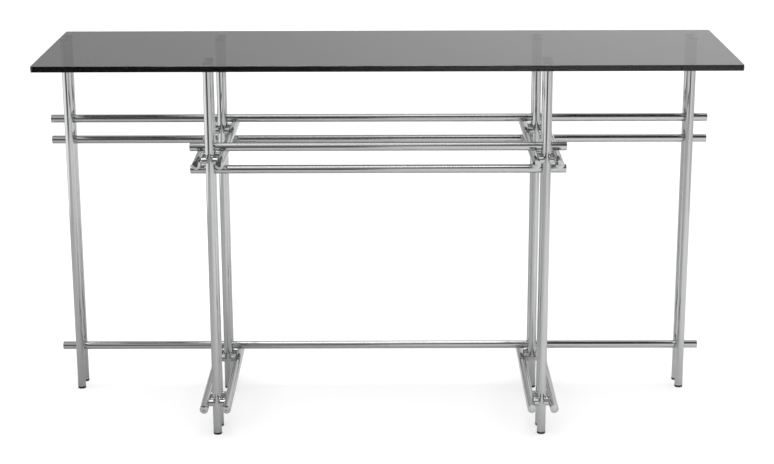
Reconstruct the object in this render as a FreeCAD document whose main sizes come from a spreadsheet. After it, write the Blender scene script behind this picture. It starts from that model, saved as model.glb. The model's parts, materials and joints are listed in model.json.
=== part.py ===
import FreeCAD, Part
import os
import Sketcher

# Console table: a smoked-glass top on a lattice of polished steel tubes.
#
# Millimetres. +X runs along the table, +Y towards its back and +Z up. The origin is on the floor
# midway between the legs. The legs stand in pairs, with the rails between the two tubes of
# a pair, and the depth rods run from front to back, one on each side of the inner legs. Every
# rail and rod passes its legs one pitch away, axis to axis. A bush with saddle-shaped ends fills
# the gap between the two walls, around a pin that joins them.

DIMENSIONS = [
    ("top_length", 1506, "glass top along X"),
    ("top_depth", 450, "glass top along Y"),
    ("top_thickness", 12.7, "glass top along Z"),
    ("top_corner_radius", 5, "corners of the glass seen from above"),
    ("top_arris", 0.5, "ground edge of the glass"),
    ("top_shift", 20, "middle of the glass, to the right of the middle of the frames"),
    ("overall_height", 850, "floor to the upper face of the glass"),
    ("tube_diameter", 19, "outside of every leg, rail and depth rod"),
    ("tube_wall", 1.5, "wall of every tube"),
    ("pitch", 25, "axis to axis, between two tubes that cross"),
    ("outer_leg_x", 720, "middle of the table to the outer leg pairs"),
    ("inner_leg_x", 365, "middle of the table to the inner leg pairs"),
    ("frame_y", 148, "middle of the table to the rails of each frame"),
    ("upper_level", 633, "height of the upper depth rods"),
    ("lower_level", 74, "height of the lower depth rods"),
    ("long_rail_length", 1530, "rails of the rear frame, over their caps"),
    ("short_rail_length", 822, "rails of the front frame, over their caps"),
    ("depth_rod_length", 436, "depth rods, over their caps"),
    ("cap_thickness", 2.5, "end cap outside its tube"),
    ("cap_dome_radius", 31, "outer face of the end cap"),
    ("spigot_length", 9, "part of a cap or plug inside its tube"),
    ("collar_thickness", 2, "part of a leg plug outside its tube"),
    ("glide_diameter", 19, "foot glide"),
    ("glide_height", 5, "foot glide under its collar"),
    ("stem_diameter", 6, "stem of the glide, pressed into the foot plug"),
    ("stem_length", 7, "stem of the glide"),
    ("pad_diameter", 22, "pad between a leg and the glass"),
    ("pad_thickness", 3, "pad between a leg and the glass"),
    ("soft_edge_radius", 0.8, "rounded edges of glides and pads"),
    ("pin_diameter", 6, "pin through a crossing"),
    ("bush_diameter", 16, "bush around the pin"),
]

# Expressions that several pieces share.
TUBE_RADIUS = "Sizes.tube_diameter / 2"
BORE_RADIUS = "Sizes.tube_diameter / 2 - Sizes.tube_wall"
LEG_BOTTOM = "Sizes.glide_height + Sizes.collar_thickness"
LEG_TOP = "Sizes.overall_height - Sizes.top_thickness - Sizes.pad_thickness - Sizes.collar_thickness"
UPPER_RAIL = "Sizes.upper_level + Sizes.pitch"
MIDDLE_RAIL = "Sizes.upper_level - Sizes.pitch"
LOWER_RAIL = "Sizes.lower_level + Sizes.pitch"

# Turns that point a piece modelled along +Z, or along +Y for a bush, the way it has to go.
UP = FreeCAD.Rotation()
DOWN = FreeCAD.Rotation(FreeCAD.Vector(1, 0, 0), 180)
RIGHT = FreeCAD.Rotation(FreeCAD.Vector(0, 1, 0), 90)
LEFT = FreeCAD.Rotation(FreeCAD.Vector(0, 1, 0), -90)
BACK = FreeCAD.Rotation(FreeCAD.Vector(1, 0, 0), -90)
FRONT = FreeCAD.Rotation(FreeCAD.Vector(1, 0, 0), 90)
BUSH_BACK = FreeCAD.Rotation()
BUSH_FRONT = FreeCAD.Rotation(FreeCAD.Vector(0, 0, 1), 180)
BUSH_RIGHT = FreeCAD.Rotation(FreeCAD.Vector(0, 0, 1), -90)
BUSH_LEFT = FreeCAD.Rotation(FreeCAD.Vector(0, 0, 1), 90)

# Leg pairs with their X, the two legs of a pair, the two rods beside it, levels of the depth
# rods with their Z, and the two frames.
OUTER_PAIRS = {"outer_left": "-Sizes.outer_leg_x", "outer_right": "Sizes.outer_leg_x"}
INNER_PAIRS = {"inner_left": "-Sizes.inner_leg_x", "inner_right": "Sizes.inner_leg_x"}
LEGS = {"fore": " - Sizes.pitch", "aft": " + Sizes.pitch"}
RODS = {"left": " - Sizes.pitch", "right": " + Sizes.pitch"}
LEVELS = {"upper": "Sizes.upper_level", "lower": "Sizes.lower_level"}
FRAMES = {
    "rear": {
        "y": "Sizes.frame_y",
        "pairs": {**OUTER_PAIRS, **INNER_PAIRS},
        "rails": {"upper": UPPER_RAIL, "middle": MIDDLE_RAIL, "lower": LOWER_RAIL},
        "rail_length": "Sizes.long_rail_length",
    },
    "front": {
        "y": "-Sizes.frame_y",
        "pairs": INNER_PAIRS,
        "rails": {"upper": UPPER_RAIL, "middle": MIDDLE_RAIL},
        "rail_length": "Sizes.short_rail_length",
    },
}

doc = FreeCAD.newDocument("ConsoleTable")
pieces = []


def fill_sheet():
    """Write the driving dimensions to the sheet, one alias to a row."""
    sheet = doc.addObject("Spreadsheet::Sheet", "Sizes")
    for row, (alias, value, meaning) in enumerate(DIMENSIONS, start=1):
        sheet.set("A%d" % row, str(value))
        sheet.setAlias("A%d" % row, alias)
        sheet.set("B%d" % row, meaning)
    doc.recompute()


def bind(obj, **expressions):
    """Bind properties of an object to expressions over the sheet."""
    for name, expression in expressions.items():
        obj.setExpression(name, expression)


def place(obj, turn, x="0", y="0", z="0"):
    """Turn an object and bind its position to expressions over the sheet."""
    obj.Placement = FreeCAD.Placement(FreeCAD.Vector(), turn)
    for axis, expression in (("x", x), ("y", y), ("z", z)):
        obj.setExpression("Placement.Base." + axis, expression)


def keep(obj, label):
    """Label an object as one of the table's pieces."""
    obj.Label = label
    pieces.append(obj)


def cylinder(name, radius, length, turn, x, y, z):
    rod = doc.addObject("Part::Cylinder", name)
    bind(rod, Radius=radius, Height=length)
    place(rod, turn, x, y, z)
    return rod


def cut(name, base, *tools):
    """A base less every tool."""
    tool = tools[0]
    if len(tools) > 1:
        tool = doc.addObject("Part::MultiFuse", name + "_tools")
        tool.Shapes = tools
    result = doc.addObject("Part::Cut", name)
    result.Base = base
    result.Tool = tool
    return result


def compound(label, solids):
    """Separate solids of one kind, kept as one piece of the list."""
    result = doc.addObject("Part::Compound", label)
    result.Links = solids
    keep(result, label)


def copies(label, master, places):
    """Copies of a master piece, each turned and placed, kept under one label."""
    links = []
    for number, (turn, x, y, z) in enumerate(places, start=1):
        link = doc.addObject("App::Link", "%s_%d" % (label, number))
        link.LinkedObject = master
        place(link, turn, x, y, z)
        links.append(link)
    compound(label, links)


def origin_plane(body, role):
    return next(plane for plane in body.Origin.OriginFeatures if plane.Role == role)


def round_step(body, kind, name, radius, length, start):
    """A round step of a body about its Z axis: it begins at start and rises by length."""
    step = body.newObject("PartDesign::" + kind, name)
    step.AttachmentSupport = [(origin_plane(body, "XY_Plane"), "")]
    step.MapMode = "FlatFace"
    bind(step, Radius=radius, Height=length)
    step.setExpression("AttachmentOffset.Base.z", start)
    return step


def dress(body, kind, name, chosen, **size):
    """A Fillet or Chamfer of a body, on the edges whose boxes the function chosen picks."""
    doc.recompute()
    base = body.Tip
    edges = ["Edge%d" % (i + 1) for i, edge in enumerate(base.Shape.Edges) if chosen(edge.BoundBox)]
    feature = body.newObject("PartDesign::" + kind, name)
    feature.Base = (base, edges)
    bind(feature, **size)


def is_level(box):
    return box.ZLength < 0.01


def glass_top():
    """A plate with rounded corners and ground edges, with the middle of its underside at Z 0."""
    body = doc.addObject("PartDesign::Body", "glass_body")
    outline = body.newObject("Sketcher::SketchObject", "glass_outline")
    outline.AttachmentSupport = [(origin_plane(body, "XY_Plane"), "")]
    outline.MapMode = "FlatFace"
    corners = [FreeCAD.Vector(x, y, 0) for x, y in ((-3, -1), (3, -1), (3, 1), (-3, 1))]
    for i in range(4):
        outline.addGeometry(Part.LineSegment(corners[i], corners[(i + 1) % 4]), False)
    for i in range(4):
        outline.addConstraint(Sketcher.Constraint("Coincident", i, 2, (i + 1) % 4, 1))
        outline.addConstraint(Sketcher.Constraint(("Horizontal", "Vertical")[i % 2], i))
    outline.addConstraint(Sketcher.Constraint("Symmetric", 0, 1, 2, 1, -1, 1))
    for name, kind, side in (("length", "DistanceX", 0), ("depth", "DistanceY", 1)):
        number = outline.addConstraint(Sketcher.Constraint(kind, side, 1, side, 2, 1.0))
        outline.renameConstraint(number, name)
        outline.setExpression("Constraints." + name, "Sizes.top_" + name)
    plate = body.newObject("PartDesign::Pad", "glass_plate")
    plate.Profile = outline
    bind(plate, Length="Sizes.top_thickness")
    dress(body, "Fillet", "glass_corners", lambda box: not is_level(box), Radius="Sizes.top_corner_radius")
    dress(body, "Chamfer", "glass_arris", is_level, Size="Sizes.top_arris")
    place(body, UP, x="Sizes.top_shift", z="Sizes.overall_height - Sizes.top_thickness")
    keep(body, "glass_top")


def end_cap():
    """A domed cap on a spigot; Z 0 is the end of its tube."""
    disc = cylinder("cap_disc", TUBE_RADIUS, "Sizes.cap_thickness", UP, "0", "0", "0")
    ball = doc.addObject("Part::Sphere", "cap_ball")
    bind(ball, Radius="Sizes.cap_dome_radius")
    place(ball, UP, z="Sizes.cap_thickness - Sizes.cap_dome_radius")
    dome = doc.addObject("Part::MultiCommon", "cap_dome")
    dome.Shapes = [disc, ball]
    spigot = cylinder("cap_spigot", BORE_RADIUS, "Sizes.spigot_length", UP, "0", "0", "-Sizes.spigot_length")
    cap = doc.addObject("Part::MultiFuse", "end_cap")
    cap.Shapes = [dome, spigot]
    return cap


def leg_plug(name):
    """A collar on a spigot that closes a leg tube; Z 0 is the end of the tube."""
    body = doc.addObject("PartDesign::Body", name)
    round_step(body, "AdditiveCylinder", name + "_collar", TUBE_RADIUS, "Sizes.collar_thickness", "0")
    round_step(body, "AdditiveCylinder", name + "_spigot", BORE_RADIUS, "Sizes.spigot_length",
               "-Sizes.spigot_length")
    return body


def foot_plug():
    """A leg plug with a blind hole for the stem of the glide."""
    body = leg_plug("foot_plug")
    round_step(body, "SubtractiveCylinder", "stem_hole", "Sizes.stem_diameter / 2", "Sizes.stem_length",
               "Sizes.collar_thickness - Sizes.stem_length")
    return body


def foot_glide():
    """A glide with a rounded rim on a stem; Z 0 is the face against the collar."""
    body = doc.addObject("PartDesign::Body", "foot_glide")
    round_step(body, "AdditiveCylinder", "glide_disc", "Sizes.glide_diameter / 2",
               "Sizes.glide_height", "0")
    dress(body, "Fillet", "glide_rim", lambda box: box.ZMin > 0.01, Radius="Sizes.soft_edge_radius")
    round_step(body, "AdditiveCylinder", "glide_stem", "Sizes.stem_diameter / 2",
               "Sizes.stem_length", "-Sizes.stem_length")
    return body


def top_pad():
    """A round pad; Z 0 is the face on the leg."""
    body = doc.addObject("PartDesign::Body", "top_pad")
    round_step(body, "AdditiveCylinder", "pad_disc", "Sizes.pad_diameter / 2", "Sizes.pad_thickness", "0")
    dress(body, "Fillet", "pad_rims", is_level, Radius="Sizes.soft_edge_radius")
    return body


def saddle_bush():
    """A bush along +Y, from a standing tube about Z to a tube along X one pitch behind it."""
    tall = "4 * Sizes.tube_diameter"
    blank = cylinder("bush_blank", "Sizes.bush_diameter / 2", "Sizes.pitch", BACK, "0", "0", "0")
    standing = cylinder("bush_standing", TUBE_RADIUS, tall, UP, "0", "0", "-2 * Sizes.tube_diameter")
    lying = cylinder("bush_lying", TUBE_RADIUS, tall, RIGHT, "-2 * Sizes.tube_diameter", "Sizes.pitch", "0")
    hole = cylinder("bush_hole", "Sizes.pin_diameter / 2", "Sizes.pitch", BACK, "0", "0", "0")
    return cut("saddle_bush", blank, standing, lying, hole)


def crossing_pin(name, turn, x, y, z):
    """A pin through a tube and halfway into the tube on either side of it."""
    return cylinder(name, "Sizes.pin_diameter / 2", "2 * Sizes.pitch", turn, x, y, z)


def leg(label, x, y, pins):
    """A leg tube, drilled for its pins."""
    length = "(%s) - (%s)" % (LEG_TOP, LEG_BOTTOM)
    outside = cylinder(label + "_outside", TUBE_RADIUS, length, UP, x, y, LEG_BOTTOM)
    bore = cylinder(label + "_bore", BORE_RADIUS, length, UP, x, y, LEG_BOTTOM)
    keep(cut(label, outside, bore, *pins), label)


def rail(label, overall_length, y, z, pins):
    """A tube along X, drilled for its pins, that stops short of its caps."""
    length = overall_length + " - 2 * Sizes.cap_thickness"
    start = "Sizes.cap_thickness - %s / 2" % overall_length
    outside = cylinder(label + "_outside", TUBE_RADIUS, length, RIGHT, start, y, z)
    bore = cylinder(label + "_bore", BORE_RADIUS, length, RIGHT, start, y, z)
    keep(cut(label, outside, bore, *pins), label)


def depth_rod(label, x, z, pins):
    """A tube along Y, drilled for its pins, that stops short of its caps."""
    length = "Sizes.depth_rod_length - 2 * Sizes.cap_thickness"
    start = "Sizes.cap_thickness - Sizes.depth_rod_length / 2"
    outside = cylinder(label + "_outside", TUBE_RADIUS, length, BACK, x, start, z)
    bore = cylinder(label + "_bore", BORE_RADIUS, length, BACK, x, start, z)
    keep(cut(label, outside, bore, *pins), label)


def frame(name, y, pairs, rails, rail_length, rod_pins):
    """One frame: its legs, its rails and its pins. The pins of the depth rods also join rod_pins."""
    rail_pins = {rail_name: [] for rail_name in rails}
    own_rod_pins = []
    for pair, x in pairs.items():
        through_rails = []
        for rail_name, z in rails.items():
            pin_name = "pin_%s_%s_%s" % (name, pair, rail_name)
            through_rails.append(crossing_pin(pin_name, BACK, x, y + " - Sizes.pitch", z))
            rail_pins[rail_name].append(through_rails[-1])
        for place_name, offset in LEGS.items():
            label = "leg_%s_%s_%s" % (name, pair, place_name)
            through_leg = []
            for level, z in LEVELS.items():
                if pair in INNER_PAIRS:
                    pin_name = label + "_pin_" + level
                    through_leg.append(crossing_pin(pin_name, RIGHT, x + " - Sizes.pitch", y + offset, z))
                    rod_pins[pair, level].append(through_leg[-1])
            leg(label, x, y + offset, through_rails + through_leg)
            own_rod_pins.extend(through_leg)
    for rail_name, z in rails.items():
        rail("rail_%s_%s" % (name, rail_name), rail_length, y, z, rail_pins[rail_name])
    compound("rail_pins_" + name, sum(rail_pins.values(), []))
    compound("rod_pins_" + name, own_rod_pins)


def rail_bush_places(y, pairs, rails):
    """Both sides of every rail where it passes between the legs of a pair."""
    places = []
    for x in pairs.values():
        for z in rails.values():
            places.append((BUSH_BACK, x, y + LEGS["fore"], z))
            places.append((BUSH_FRONT, x, y + LEGS["aft"], z))
    return places


def rod_bush_places(y):
    """Both sides of every inner leg of a frame, at both levels of the depth rods."""
    places = []
    for x in INNER_PAIRS.values():
        for offset in LEGS.values():
            for z in LEVELS.values():
                places.append((BUSH_LEFT, x, y + offset, z))
                places.append((BUSH_RIGHT, x, y + offset, z))
    return places


def frames():
    """Both frames with their bushes, and the depth rods that tie them together."""
    bush = saddle_bush()
    rod_pins = {(pair, level): [] for pair in INNER_PAIRS for level in LEVELS}
    for name, plan in FRAMES.items():
        frame(name, rod_pins=rod_pins, **plan)
        copies("rail_bushes_" + name, bush, rail_bush_places(plan["y"], plan["pairs"], plan["rails"]))
        copies("rod_bushes_" + name, bush, rod_bush_places(plan["y"]))
    for (pair, level), pins in rod_pins.items():
        for side, offset in RODS.items():
            label = "depth_rod_%s_%s_%s" % (pair, level, side)
            depth_rod(label, INNER_PAIRS[pair] + offset, LEVELS[level], pins)


def caps():
    """A cap on both ends of every rail and depth rod."""
    cap = end_cap()
    inset = " - Sizes.cap_thickness"
    for name, plan in FRAMES.items():
        places = []
        for z in plan["rails"].values():
            end = plan["rail_length"] + " / 2" + inset
            places.append((LEFT, "-(%s)" % end, plan["y"], z))
            places.append((RIGHT, end, plan["y"], z))
        copies("rail_caps_" + name, cap, places)
    end = "Sizes.depth_rod_length / 2" + inset
    places = []
    for x in INNER_PAIRS.values():
        for z in LEVELS.values():
            for offset in RODS.values():
                places.append((FRONT, x + offset, "-(%s)" % end, z))
                places.append((BACK, x + offset, end, z))
    copies("depth_rod_caps", cap, places)


def leg_ends():
    """Plugs in both ends of every leg, a glide under it and a pad on top of it."""
    legs = [
        (x, plan["y"] + offset)
        for plan in FRAMES.values()
        for x in plan["pairs"].values()
        for offset in LEGS.values()
    ]
    pad_bottom = LEG_TOP + " + Sizes.collar_thickness"
    copies("foot_plugs", foot_plug(), [(DOWN, x, y, LEG_BOTTOM) for x, y in legs])
    copies("foot_glides", foot_glide(), [(DOWN, x, y, "Sizes.glide_height") for x, y in legs])
    copies("leg_top_plugs", leg_plug("top_plug"), [(UP, x, y, LEG_TOP) for x, y in legs])
    copies("top_pads", top_pad(), [(UP, x, y, pad_bottom) for x, y in legs])


def check():
    """Stop if a feature failed, or a piece has no sound shape."""
    doc.recompute()
    for obj in doc.Objects:
        if "Invalid" in obj.State or "Error" in obj.State:
            raise RuntimeError("%s failed: %s" % (obj.Name, obj.State))
    for piece in pieces:
        if piece.Shape.isNull() or not piece.Shape.isValid() or not piece.Shape.Solids:
            raise RuntimeError("%s has no sound shape" % piece.Label)


def export():
    os.makedirs("parts", exist_ok=True)
    for piece in pieces:
        piece.Shape.exportStep(os.path.join("parts", piece.Label + ".step"))
        print("%-34s %3d solid(s) %12.1f mm3" % (piece.Label, len(piece.Shape.Solids), piece.Shape.Volume))


fill_sheet()
glass_top()
frames()
caps()
leg_ends()
check()
export()
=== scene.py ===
import json
from math import radians

import bpy
from mathutils import Matrix, Vector

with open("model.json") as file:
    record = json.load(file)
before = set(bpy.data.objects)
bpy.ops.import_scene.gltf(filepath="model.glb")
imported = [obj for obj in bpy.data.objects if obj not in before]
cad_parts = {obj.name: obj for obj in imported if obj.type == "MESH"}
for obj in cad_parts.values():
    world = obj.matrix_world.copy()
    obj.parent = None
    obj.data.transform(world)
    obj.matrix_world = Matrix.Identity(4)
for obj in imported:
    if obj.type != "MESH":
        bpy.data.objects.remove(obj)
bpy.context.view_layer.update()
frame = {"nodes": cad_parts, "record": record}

# Console table: smoked glass on polished steel tubes, in a white studio.
#
# Metres, in the frame of the CAD model: +X along the table, +Y towards its back, +Z up, and the
# floor at Z 0.

# Camera, as a position, three angles in degrees and a lens in millimetres.
CAMERA_AT = Vector((0.0292, -4.0061, 1.5534))
CAMERA_PITCH = 15.757
CAMERA_TURN = 0.158
CAMERA_ROLL = -0.179
CAMERA_LENS = 84.62
SENSOR_WIDTH = 36.0

# Floor: its outline, its grey on the left and on the right as the steel mirrors it, which is painted
# shade in the steel's reflections, and the share and brightness of its own glow, which shows to the
# camera and through the glass.
FLOOR_RADIUS = 14.0
FLOOR_SIDES = 96
FLOOR_MIRRORED_SHADE = (0.38, 0.60)
FLOOR_GLOW = 0.6
FLOOR_BRIGHTNESS = 0.97

# Softbox over the table: its outline, the width of its soft edges, its height and the
# brightness of its middle.
SOFTBOX_X = (-0.80, 0.66)
SOFTBOX_Y = (-1.10, 0.95)
SOFTBOX_EDGE_X = 0.30
SOFTBOX_EDGE_Y = 0.40
SOFTBOX_Z = 2.5
SOFTBOX_LIGHT = 7.4

# Card in front of the table: its two ends on the floor plan, its height, its brightness on the
# left, below on the right and above on the right, and where one passes into the other.
FRONT_CARD = ((-1.8, -2.7), (1.7, -2.7))
FRONT_CARD_HEIGHT = 2.1
FRONT_CARD_LEFT = 0.11
FRONT_CARD_LOWER = 0.95
FRONT_CARD_UPPER = 0.30
FRONT_CARD_STEP_X = (-0.13, 0.10)
FRONT_CARD_STEP_Z = (1.10, 1.30)

# Cards at the sides: their two ends on the floor plan, their height and their brightness.
LEFT_CARD = ((-2.3, -1.9), (-2.3, 1.0))
RIGHT_CARD = ((2.3, -1.6), (2.3, 1.0))
SIDE_CARD_HEIGHT = 1.6
LEFT_CARD_LIGHT = 1.25
RIGHT_CARD_LIGHT = 0.75

# Surroundings: their brightness behind the table on the left and right, low in front of it, and
# high in front of it on the left and right.
ROOM_BEHIND = (0.44, 0.76)
ROOM_LOW_AHEAD = 0.22
ROOM_HIGH_AHEAD = (0.60, 0.06)

# Even light from above: its strength, and the angle that it comes from.
FILL_LIGHT = 3.1
FILL_ANGLE = 120.0


def add(tree, kind, inputs=(), **settings):
    """A shader node with its settings, and its inputs set or linked by name or number."""
    made = tree.nodes.new("ShaderNode" + kind)
    for name, value in settings.items():
        setattr(made, name, value)
    for name, value in dict(inputs).items():
        if isinstance(value, bpy.types.NodeSocket):
            tree.links.new(value, made.inputs[name])
        else:
            made.inputs[name].default_value = value
    return made


def new_material(name):
    """A material with an empty node tree."""
    material = bpy.data.materials.new(name)
    material.use_nodes = True
    material.node_tree.nodes.clear()
    return material, material.node_tree


def grey(value):
    """An opaque grey."""
    return (value, value, value, 1.0)


def noise(tree, vector, scale, detail=2.0, roughness=0.5):
    """The grey value of a noise with the given number of cells per metre."""
    inputs = {"Vector": vector, "Scale": scale, "Detail": detail, "Roughness": roughness}
    return add(tree, "TexNoise", inputs).outputs["Fac"]


def stretched(tree, scale):
    """Object coordinates, scaled apart along the three axes."""
    place = add(tree, "TexCoord").outputs["Object"]
    return add(tree, "Mapping", {"Vector": place, "Scale": scale}).outputs["Vector"]


def remap(tree, value, low, high, start=0.0, end=1.0, smooth=False):
    """A value between start and end, carried over to between low and high, and held there."""
    inputs = {"Value": value, "From Min": start, "From Max": end, "To Min": low, "To Max": high}
    kind = "SMOOTHSTEP" if smooth else "LINEAR"
    return add(tree, "MapRange", inputs, interpolation_type=kind).outputs["Result"]


def multiply(tree, first, second):
    """The product of two values."""
    return add(tree, "Math", {0: first, 1: second}, operation="MULTIPLY").outputs[0]


def blend_values(tree, factor, first, second):
    """A number between two others."""
    inputs = {"Factor": factor, 2: first, 3: second}
    return add(tree, "Mix", inputs, data_type="FLOAT").outputs[0]


def blend_colors(tree, factor, first, second):
    """A colour between two others."""
    inputs = {"Factor": factor, 6: first, 7: second}
    return add(tree, "Mix", inputs, data_type="RGBA").outputs[2]


def bump(tree, height, strength, distance):
    """A surface normal from a height."""
    inputs = {"Height": height, "Strength": strength, "Distance": distance}
    return add(tree, "Bump", inputs).outputs["Normal"]


def finish_material(tree, shader, volume=None):
    """Link the shader, and a volume if there is one, to the material's output."""
    output = add(tree, "OutputMaterial", {"Surface": shader})
    if volume is not None:
        tree.links.new(volume, output.inputs["Volume"])


def polished_steel(along):
    """Mirror-polished steel, with faint polishing rings round a tube that lies along one axis."""
    material, tree = new_material("polished_steel_" + "xyz"[along])
    rings = [30.0, 30.0, 30.0]
    rings[along] = 1400.0
    fine = noise(tree, stretched(tree, rings), 1.0, 3.0, 0.6)
    streaks = noise(tree, stretched(tree, [value / 6.0 for value in rings]), 1.0, 2.0)
    patches = noise(tree, stretched(tree, (9.0, 9.0, 9.0)), 1.0, 4.0, 0.55)
    wear = multiply(tree, patches, streaks)
    color = blend_colors(tree, patches, (0.60, 0.603, 0.606, 1.0), (0.54, 0.543, 0.547, 1.0))
    shader = add(tree, "BsdfPrincipled", {
        "Base Color": color,
        "Metallic": 1.0,
        "Roughness": remap(tree, wear, 0.05, 0.13, 0.12, 0.45),
        "Normal": bump(tree, fine, 0.05, 0.00004),
    })
    finish_material(tree, shader.outputs[0])
    return material


def smoked_glass():
    """Dark grey float glass with polished faces and finely ground edges."""
    material, tree = new_material("smoked_glass")
    normal = add(tree, "NewGeometry").outputs["True Normal"]
    facing = add(tree, "SeparateXYZ", {0: normal}).outputs["Z"]
    level = add(tree, "Math", {0: facing}, operation="ABSOLUTE").outputs[0]
    edge = remap(tree, level, 1.0, 0.0, 0.85, 0.98)
    wiped = noise(tree, stretched(tree, (5.0, 14.0, 5.0)), 1.0, 5.0, 0.6)
    grinding = noise(tree, stretched(tree, (900.0, 900.0, 60.0)), 1.0, 3.0)
    smears = remap(tree, wiped, 0.0, 0.012, 0.45, 0.8)
    ground = remap(tree, grinding, 0.21, 0.26, 0.3, 0.7)
    roughness = blend_values(tree, edge, smears, ground)
    shader = add(tree, "BsdfPrincipled", {
        "Base Color": grey(1.0),
        "Roughness": roughness,
        "IOR": 1.52,
        "Transmission Weight": 1.0,
    })
    smoke = add(tree, "VolumeAbsorption", {"Color": (0.325, 0.33, 0.335, 1.0), "Density": 200.0})
    finish_material(tree, shader.outputs[0], smoke.outputs[0])
    return material


def plain_steel():
    """Turned steel, dull, with fine tool marks."""
    material, tree = new_material("plain_steel")
    marks = noise(tree, stretched(tree, (2500.0, 400.0, 2500.0)), 1.0, 3.0, 0.6)
    stains = noise(tree, stretched(tree, (90.0, 90.0, 90.0)), 1.0, 3.0)
    shader = add(tree, "BsdfPrincipled", {
        "Base Color": blend_colors(tree, stains, grey(0.46), (0.34, 0.34, 0.35, 1.0)),
        "Metallic": 1.0,
        "Roughness": remap(tree, marks, 0.25, 0.42, 0.3, 0.7),
        "Normal": bump(tree, marks, 0.25, 0.00008),
    })
    finish_material(tree, shader.outputs[0])
    return material


def moulded_black(name, color, roughness, grain):
    """Black plastic or rubber with a fine moulded grain and a little dust in it."""
    material, tree = new_material(name)
    pits = noise(tree, stretched(tree, (grain, grain, grain)), 1.0, 4.0, 0.6)
    scuffs = noise(tree, stretched(tree, (160.0, 160.0, 60.0)), 1.0, 3.0, 0.65)
    dusty = remap(tree, scuffs, 0.0, 0.35, 0.5, 0.8)
    shader = add(tree, "BsdfPrincipled", {
        "Base Color": blend_colors(tree, dusty, grey(color), grey(color * 2.2)),
        "Roughness": remap(tree, scuffs, roughness, roughness + 0.2, 0.35, 0.7),
        "Specular IOR Level": 0.4,
        "Normal": bump(tree, pits, 0.35, 0.0001),
    })
    finish_material(tree, shader.outputs[0])
    return material


def tube_axis(name):
    """Number of the axis that a steel piece lies along: 0 for X, 1 for Y, 2 for Z."""
    if name.startswith(("rail_rear", "rail_front", "rail_caps", "rod_bushes")):
        return 0
    if name.startswith(("depth_rod", "rail_bushes")):
        return 1
    return 2


def dress_nodes():
    """Give every CAD node the material of its slot in the record."""
    steels = [polished_steel(axis) for axis in range(3)]
    others = {
        "smoked_glass": smoked_glass(),
        "plain_steel": plain_steel(),
        "black_nylon": moulded_black("black_nylon", 0.018, 0.42, 2600.0),
        "pad_rubber": moulded_black("pad_rubber", 0.026, 0.62, 1500.0),
    }
    for part in frame["record"]["subparts"]:
        piece = frame["nodes"][part["node"]]
        slot = part["material_slot"]
        material = steels[tube_axis(part["node"])] if slot == "polished_steel" else others[slot]
        piece.data.materials.clear()
        piece.data.materials.append(material)


def stage_mesh(name, corners, material):
    """A flat piece of the studio, which isn't part of the table."""
    mesh = bpy.data.meshes.new(name)
    mesh.from_pydata(corners, [], [range(len(corners))])
    mesh.materials.append(material)
    piece = bpy.data.objects.new(name, mesh)
    bpy.context.collection.objects.link(piece)
    return piece


def floor():
    """A round floor, near white to the camera and through the glass, and a softer grey in the steel,
    painted shade that is darker on the left.
    """
    material, tree = new_material("studio_floor")
    place = add(tree, "TexCoord").outputs["Object"]
    sideways = add(tree, "SeparateXYZ", {0: place}).outputs["X"]
    # Painted shade for the steel's reflections: the floor that the steel mirrors is greyer than the
    # paper, and darker on the left than on the right.
    mirrored_shade = remap(tree, sideways, *FLOOR_MIRRORED_SHADE, -1.0, 1.0, smooth=True)
    paper = remap(tree, noise(tree, place, 3.0, 3.0), 0.95, 0.97, 0.3, 0.7)
    path = add(tree, "LightPath").outputs
    rays = {0: path["Is Camera Ray"], 1: path["Is Transmission Ray"]}
    seen = add(tree, "Math", rays, operation="MAXIMUM").outputs[0]
    matt = add(tree, "BsdfDiffuse", {"Color": blend_colors(tree, seen, mirrored_shade, paper)})
    glow = add(tree, "Emission", {"Color": grey(1.0), "Strength": FLOOR_BRIGHTNESS})
    share = multiply(tree, seen, FLOOR_GLOW)
    shader = add(tree, "MixShader", {0: share, 1: matt.outputs[0], 2: glow.outputs[0]})
    finish_material(tree, shader.outputs[0])
    turns = (Matrix.Rotation(radians(360.0 * i / FLOOR_SIDES), 3, "Z") for i in range(FLOOR_SIDES))
    stage_mesh("studio_floor", [turn @ Vector((FLOOR_RADIUS, 0.0, 0.0)) for turn in turns], material)


def soft_edges(tree, value, start, end, edge):
    """One between start and end, and falling to zero over a soft edge on the inside of each."""
    rise = remap(tree, value, 0.0, 1.0, start, start + edge, smooth=True)
    fall = remap(tree, value, 1.0, 0.0, end - edge, end, smooth=True)
    return multiply(tree, rise, fall)


def glowing_card(name, corners, shade):
    """A card that the camera doesn't see. shade gives its brightness at a place on it."""
    material, tree = new_material(name)
    place = add(tree, "SeparateXYZ", {0: add(tree, "TexCoord").outputs["Object"]}).outputs
    shader = add(tree, "Emission", {"Color": grey(1.0), "Strength": shade(tree, *place)})
    finish_material(tree, shader.outputs[0])
    card = stage_mesh(name, corners, material)
    card.visible_camera = False
    return card


def upright_card(name, start, end, height, shade):
    """A card that stands between two points of the floor plan, and that only gloss mirrors."""
    corners = [(*start, 0.0), (*end, 0.0), (*end, height), (*start, height)]
    card = glowing_card(name, corners, shade)
    card.visible_diffuse = False
    card.visible_shadow = False
    card.visible_transmission = False


def front_shade(tree, sideways, deep, high):
    """Dark on the left, and on the right bright below and dim above."""
    right = remap(tree, high, FRONT_CARD_LOWER, FRONT_CARD_UPPER, *FRONT_CARD_STEP_Z, smooth=True)
    side = remap(tree, sideways, 0.0, 1.0, *FRONT_CARD_STEP_X, smooth=True)
    return blend_values(tree, side, FRONT_CARD_LEFT, right)


def softbox_shade(tree, sideways, deep, high):
    """Bright in the middle, with soft edges all round."""
    across = soft_edges(tree, sideways, *SOFTBOX_X, SOFTBOX_EDGE_X)
    along = soft_edges(tree, deep, *SOFTBOX_Y, SOFTBOX_EDGE_Y)
    return multiply(tree, multiply(tree, across, along), SOFTBOX_LIGHT)


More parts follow.
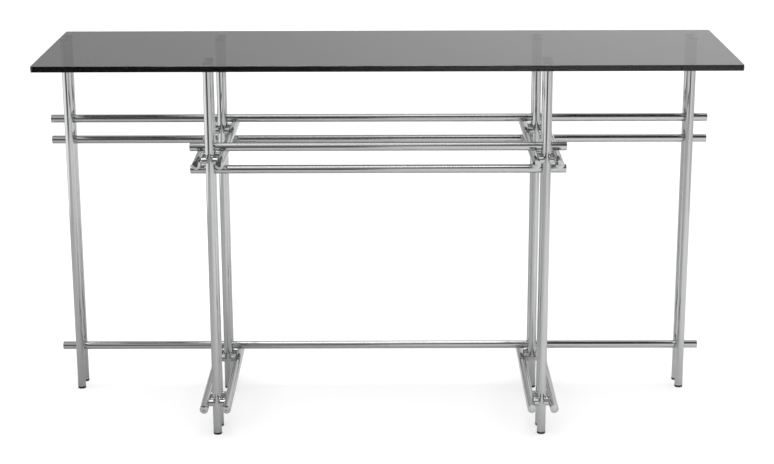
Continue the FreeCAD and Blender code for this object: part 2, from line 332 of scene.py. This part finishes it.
def studio():
    """White to the camera. The steel finds it brightest behind on the right, darkest high in front."""
    world = bpy.data.worlds.new("studio")
    world.use_nodes = True
    tree = world.node_tree
    tree.nodes.clear()
    axes = add(tree, "SeparateXYZ", {0: add(tree, "TexCoord").outputs["Generated"]})
    sideways, deep, high = (axes.outputs[i] for i in range(3))
    behind = remap(tree, sideways, *ROOM_BEHIND, -0.22, 0.22, smooth=True)
    above = remap(tree, sideways, *ROOM_HIGH_AHEAD, -0.05, 0.11, smooth=True)
    ahead = remap(tree, high, ROOM_LOW_AHEAD, above, 0.20, 0.65, smooth=True)
    front = remap(tree, deep, 0.0, 1.0, 0.10, -0.40, smooth=True)
    strength = blend_values(tree, front, behind, ahead)
    surroundings = add(tree, "Background", {"Color": grey(1.0), "Strength": strength})
    backdrop = add(tree, "Background", {"Color": grey(1.0), "Strength": 1.0})
    seen = add(tree, "LightPath").outputs["Is Camera Ray"]
    mixed = add(tree, "MixShader", {0: seen, 1: surroundings.outputs[0], 2: backdrop.outputs[0]})
    add(tree, "OutputWorld", {"Surface": mixed.outputs[0]})
    bpy.context.scene.world = world


def fill_light():
    """An even light from all round above, which casts hardly any shadow and isn't mirrored."""
    light = bpy.data.lights.new("fill", "SUN")
    light.energy = FILL_LIGHT
    light.angle = radians(FILL_ANGLE)
    piece = bpy.data.objects.new("fill", light)
    bpy.context.collection.objects.link(piece)
    piece.visible_glossy = False
    piece.visible_transmission = False


def cards():
    """A softbox over the table, and cards in front of it and at its sides."""
    (left, right), (near, far) = SOFTBOX_X, SOFTBOX_Y
    corners = [(x, y, SOFTBOX_Z) for x, y in ((left, near), (right, near), (right, far), (left, far))]
    glowing_card("softbox_top", corners, softbox_shade)
    upright_card("card_front", *FRONT_CARD, FRONT_CARD_HEIGHT, front_shade)
    upright_card("card_left", *LEFT_CARD, SIDE_CARD_HEIGHT, lambda *place: LEFT_CARD_LIGHT)
    upright_card("card_right", *RIGHT_CARD, SIDE_CARD_HEIGHT, lambda *place: RIGHT_CARD_LIGHT)


def camera():
    """The camera, level but for a slight roll."""
    lens = bpy.data.cameras.new("camera")
    lens.lens = CAMERA_LENS
    lens.sensor_width = SENSOR_WIDTH
    lens.clip_end = 100.0
    piece = bpy.data.objects.new("camera", lens)
    turn = Matrix.Rotation(radians(CAMERA_TURN), 4, "Z")
    tilt = Matrix.Rotation(radians(90.0 - CAMERA_PITCH), 4, "X")
    roll = Matrix.Rotation(radians(CAMERA_ROLL), 4, "Z")
    piece.matrix_world = Matrix.Translation(CAMERA_AT) @ turn @ tilt @ roll
    bpy.context.collection.objects.link(piece)
    bpy.context.scene.camera = piece


dress_nodes()
floor()
studio()
fill_light()
cards()
camera()
bpy.context.scene.view_settings.view_transform = "Standard"
